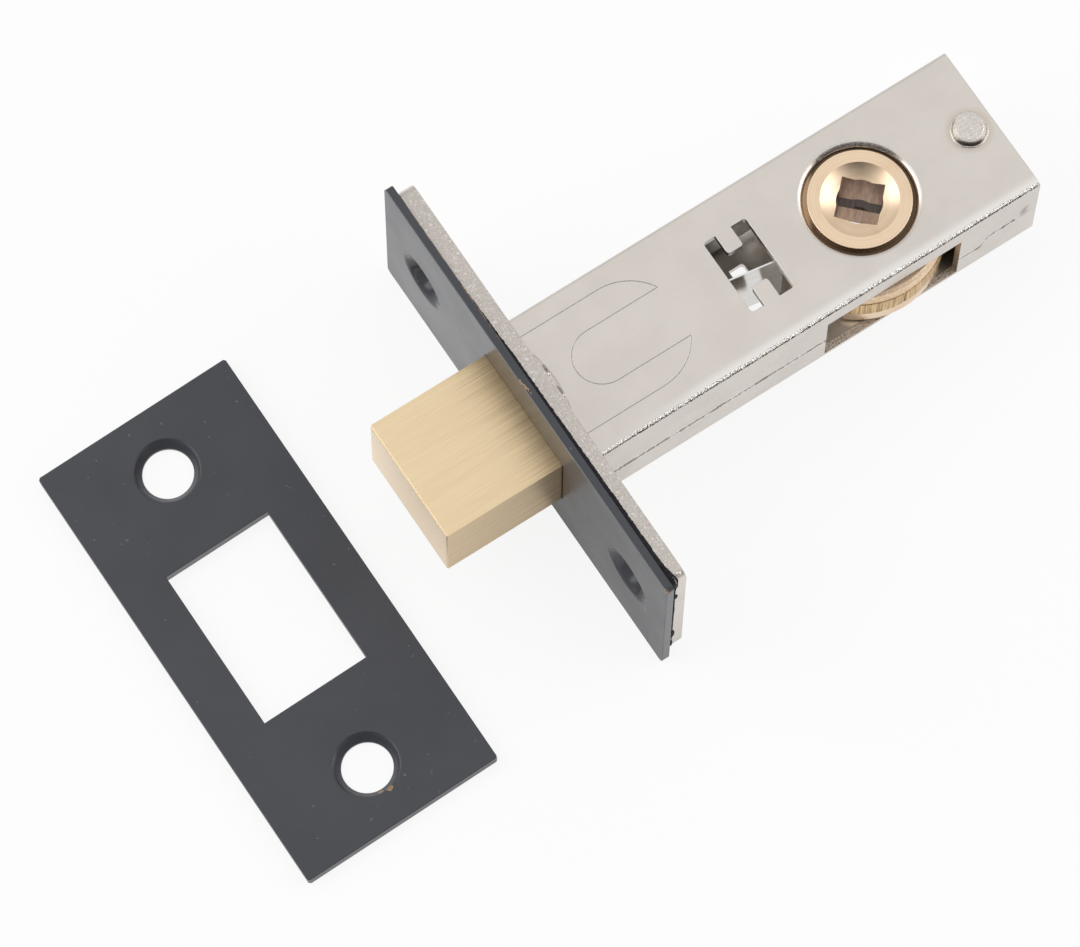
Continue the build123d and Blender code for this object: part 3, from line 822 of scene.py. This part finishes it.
def stake_slits():
    """Two short slits where the plate was staked over the fork, drawn as thin strips painted dark for the
    shade inside them, each with a bright burr at its end.
    """
    length = 1.2 * MM
    columns = 11
    sides = (-2, -1, 0, 1, 2)
    for index, y in enumerate((-1.5 * MM, 1.5 * MM)):
        verts = []
        for side in sides:
            for column in range(columns):
                share = column / (columns - 1)
                half = (0.17 * math.sin(math.pi * share) ** 0.4 + 0.015 * math.sin(9 * share + index)) * MM
                height = 0.004 * MM + (0.014 * MM if abs(side) == 1 else 0.0)
                verts.append((STAKE_X + side / 2 * half, y + share * length, PLATE_HALF_Z + height))
        faces = strip_faces(len(sides), columns)
        add_piece("stake_slit_%d" % index, verts, faces, slit_shade)
        place = (STAKE_X / MM - 0.02, (y + length) / MM + 0.14, PLATE_HALF_Z / MM)
        lump("stake_burr_%d" % index, place, (0.17, 0.20, 0.09), bright_burr, 3)


def joint_paint():
    """Black paint along the joint between the cover and the plate, ragged on the plate's side."""
    rng = random.Random(11)
    first = -19.0 * MM
    last = 25.5 * MM
    rows = 520
    verts = []
    wander = 0.0
    for row in range(rows):
        share = row / (rows - 1)
        wander = 0.55 * wander + 0.075 * MM * (rng.random() - 0.5)
        y = first + (last - first) * share
        start = min(1.0, max(0.0, (y + 16 * MM) / (12 * MM)))
        later = min(1.0, max(0.0, (y + 4 * MM) / (22 * MM)))
        width = (0.05 + 0.33 * start + 0.20 * later) * MM + wander
        for across in (0.0, 0.5, 1.0):
            x = COVER_BACK - 0.06 * MM - across * max(width, 0.02 * MM)
            height = 0.012 * MM if across == 0.5 else 0.003 * MM
            verts.append((x, y, PLATE_HALF_Z + height))
    add_piece("joint_paint", verts, strip_faces(rows, 3), paint)


def plate_outline(run):
    """Point on the plate's outline, going over its upper corner at the +Y end, and the way out there."""
    begin = 25.4 * MM
    flat = PLATE_HALF_Y - PLATE_CORNER_R - begin
    turn = PLATE_CORNER_R * math.pi / 2
    if run < flat:
        return begin + run, PLATE_HALF_Z, 0.0, 1.0
    if run < flat + turn:
        t = (run - flat) / PLATE_CORNER_R
        y = PLATE_HALF_Y - PLATE_CORNER_R + PLATE_CORNER_R * math.sin(t)
        z = PLATE_HALF_Z - PLATE_CORNER_R + PLATE_CORNER_R * math.cos(t)
        return y, z, math.sin(t), math.cos(t)
    return PLATE_HALF_Y, PLATE_HALF_Z - PLATE_CORNER_R - (run - flat - turn), 1.0, 0.0


def paint_corner():
    """Black paint that filled the joint between the cover and the plate's corner."""
    rng = random.Random(3)
    length = 5.4 * MM
    rows = 60
    columns = 7
    verts = []
    for row in range(rows):
        share = row / (rows - 1)
        y, z, out_y, out_z = plate_outline(length * share)
        swell = 0.50 * math.sin(math.pi * share ** 0.8) + 0.05 * math.sin(19 * share)
        reach = -(1.50 + 0.38 * share + swell) * MM
        reach -= 0.04 * MM * rng.random()
        for column in range(columns):
            across = column / (columns - 1)
            x = COVER_BACK + (reach - COVER_BACK) * across
            lift = (-0.16 + 0.19 * across ** 0.6 if column < columns - 1 else -0.02) * MM
            lift += 0.012 * MM * rng.random()
            verts.append((x, y + out_y * lift, z + out_z * lift))
    add_piece("paint_corner", verts, strip_faces(rows, columns), paint)


def plate_end_lumps():
    """Drops of paint on the plate's end and the bright burr on its upper corner."""
    end_y = PLATE_HALF_Y / MM - 0.02
    lump("paint_drop_0", (-1.86, end_y, 6.2), (0.26, 0.10, 0.80), paint, 3)
    lump("paint_drop_1", (-1.78, end_y, -6.9), (0.27, 0.10, 1.30), paint, 3)
    lump("paint_drop_2", (-1.72, end_y, 1.6), (0.12, 0.08, 1.90), paint, 2)
    lump("paint_drop_3", (-1.72, end_y, -10.2), (0.14, 0.08, 1.10), paint, 2)
    lump("corner_burr", (-2.52, 27.05, 11.72), (0.34, 0.30, 0.14), bright_burr, 5)


rolled_lip()
rivet_cap()
rivet_ring()
hub_dish()
fold_burr()
stake_slits()
joint_paint()
cover_dimples()
strike_lips()
paint_corner()
plate_end_lumps()


# Camera, from the view fitted to the photograph

def make_camera():
    right = Vector((-0.83278922, 0.55331597, 0.01742261))
    down = Vector((0.51822971, 0.79027642, -0.32695741))
    forward = Vector((-0.19467944, -0.26325769, -0.94487846))
    place = Vector((0.14162815, 0.21154982, 0.71000814))
    focal_px = 6699.53667
    centre_px = (625.644654, 501.88527)
    width_px, height_px = 1080, 947
    data = bpy.data.cameras.new("camera")
    data.sensor_fit = "HORIZONTAL"
    data.sensor_width = 36.0
    data.lens = focal_px / width_px * data.sensor_width
    data.shift_x = (width_px / 2 - centre_px[0]) / width_px
    data.shift_y = (centre_px[1] - height_px / 2) / width_px
    data.clip_start = 0.01
    data.clip_end = 20.0
    camera = bpy.data.objects.new("camera", data)
    turn = Matrix((right, -down, -forward)).transposed().to_4x4()
    camera.matrix_world = Matrix.Translation(place) @ turn
    bpy.context.scene.collection.objects.link(camera)
    bpy.context.scene.camera = camera


# Table, world and lamps

def floor_reflection(g):
    """Glow of the table in reflections, painted in place of its real shading: brighter behind and ahead of
    the forend and towards its ends.
    """
    x, y, z = g.axes(g.place())
    level = g.ramp(x, -3.0 * MM, -12.0 * MM, 0.44, 0.74)
    level = g.plus(level, g.ramp(x, 13.0 * MM, 17.0 * MM, 0.0, 0.12))
    level = g.plus(level, g.ramp(y, -2.0 * MM, -24.0 * MM, 0.0, 0.90))
    return g.plus(level, g.ramp(y, 27.0 * MM, 30.0 * MM, 0.0, 0.16))


def make_floor():
    """White table that the set lies on, tilted in the model's frame as the set rests on it."""
    half = 3.0
    below_cover = 0.02 * MM
    corners = [(-half, -half, 0), (half, -half, 0), (half, half, 0), (-half, half, 0)]
    mesh = bpy.data.meshes.new("floor")
    mesh.from_pydata(corners, [], [(0, 1, 2, 3)])
    floor = bpy.data.objects.new("floor", mesh)
    bpy.context.scene.collection.objects.link(floor)
    edge = Vector((COVER_BACK, 0.0, -COVER_HALF_Z - below_cover))
    floor.matrix_world = Matrix.Translation(edge) @ Matrix.Rotation(TABLE_TILT, 4, "Y")
    made = bpy.data.materials.new("floor_white")
    g = Graph(made)
    g.nodes.remove(g.nodes["Principled BSDF"])
    diffuse = g.add("ShaderNodeBsdfDiffuse", {"Color": rgb(0.88, 0.88, 0.88)})
    glow = g.add("ShaderNodeEmission", {"Color": rgb(1.0, 1.0, 1.0), "Strength": 1.0})
    rays = g.add("ShaderNodeLightPath")
    seen = g.times(g.most(rays.outputs["Is Camera Ray"], rays.outputs["Is Transmission Ray"]), 0.88)
    seen = g.most(seen, g.times(rays.outputs["Is Glossy Ray"], floor_reflection(g)))
    mixed = g.add("ShaderNodeMixShader", {0: seen, 1: diffuse.outputs[0], 2: glow.outputs[0]})
    g.put(g.nodes["Material Output"], "Surface", mixed.outputs[0])
    mesh.materials.append(made)


WORLD_LOW = 0.44  # level at the horizon
WORLD_HIGH = 0.52  # added overhead
WORLD_SIDES = 0.10  # added at the left and right of the set
WORLD_FAR = 0.30  # added behind the set
WORLD_DARK = 0.74  # taken off on the side that the set is seen from, where the room isn't lit
WORLD_DARK_WAY = (0.391, 0.589, 0.707)
WORLD_LEAST = 0.14  # nowhere darker than this


def make_world():
    """Bright overhead and on both sides, dark on the side that the set is seen from."""
    world = bpy.data.worlds.new("studio")
    bpy.context.scene.world = world
    g = Graph(world)
    background = g.nodes["Background"]
    way = g.add("ShaderNodeTexCoord").outputs["Generated"]
    up = g.axes(way)[2]
    along = g.vector_math("DOT_PRODUCT", way, PICTURE_RIGHT, "Value")
    far = g.most(g.vector_math("DOT_PRODUCT", way, PICTURE_FAR, "Value"), 0.0)
    dark = g.vector_math("DOT_PRODUCT", way, WORLD_DARK_WAY, "Value")
    level = g.plus(g.times(up, up, WORLD_HIGH), WORLD_LOW)
    level = g.plus(level, g.times(along, along, WORLD_SIDES))
    level = g.plus(level, g.times(far, far, WORLD_FAR))
    level = g.minus(level, g.ramp(dark, 0.79, 0.92, 0.0, WORLD_DARK))
    level = g.most(level, WORLD_LEAST)
    seen = g.add("ShaderNodeLightPath").outputs["Is Camera Ray"]
    pick = g.add("ShaderNodeMix", {0: seen, 2: level, 3: 1.0})
    g.put(background, "Strength", pick.outputs[0])
    g.put(background, "Color", rgb(1.0, 1.0, 1.0))


def make_lamp(name, place, size, power):
    """Soft box that faces the middle of the set."""
    target = Vector((-0.015, 0.0, 0.0))
    data = bpy.data.lights.new(name, "AREA")
    data.shape = "RECTANGLE"
    data.size, data.size_y = size
    data.energy = power
    lamp = bpy.data.objects.new(name, data)
    lamp.location = place
    lamp.rotation_euler = (target - Vector(place)).to_track_quat("-Z", "Y").to_euler()
    bpy.context.scene.collection.objects.link(lamp)


make_camera()
make_floor()
make_world()
make_lamp("left_box", (0.70, -0.47, 0.60), (0.9, 0.8), 4.4)
make_lamp("right_box", (-0.86, 0.36, 0.58), (0.8, 0.8), 3.4)

bpy.context.scene.view_settings.view_transform = "Standard"
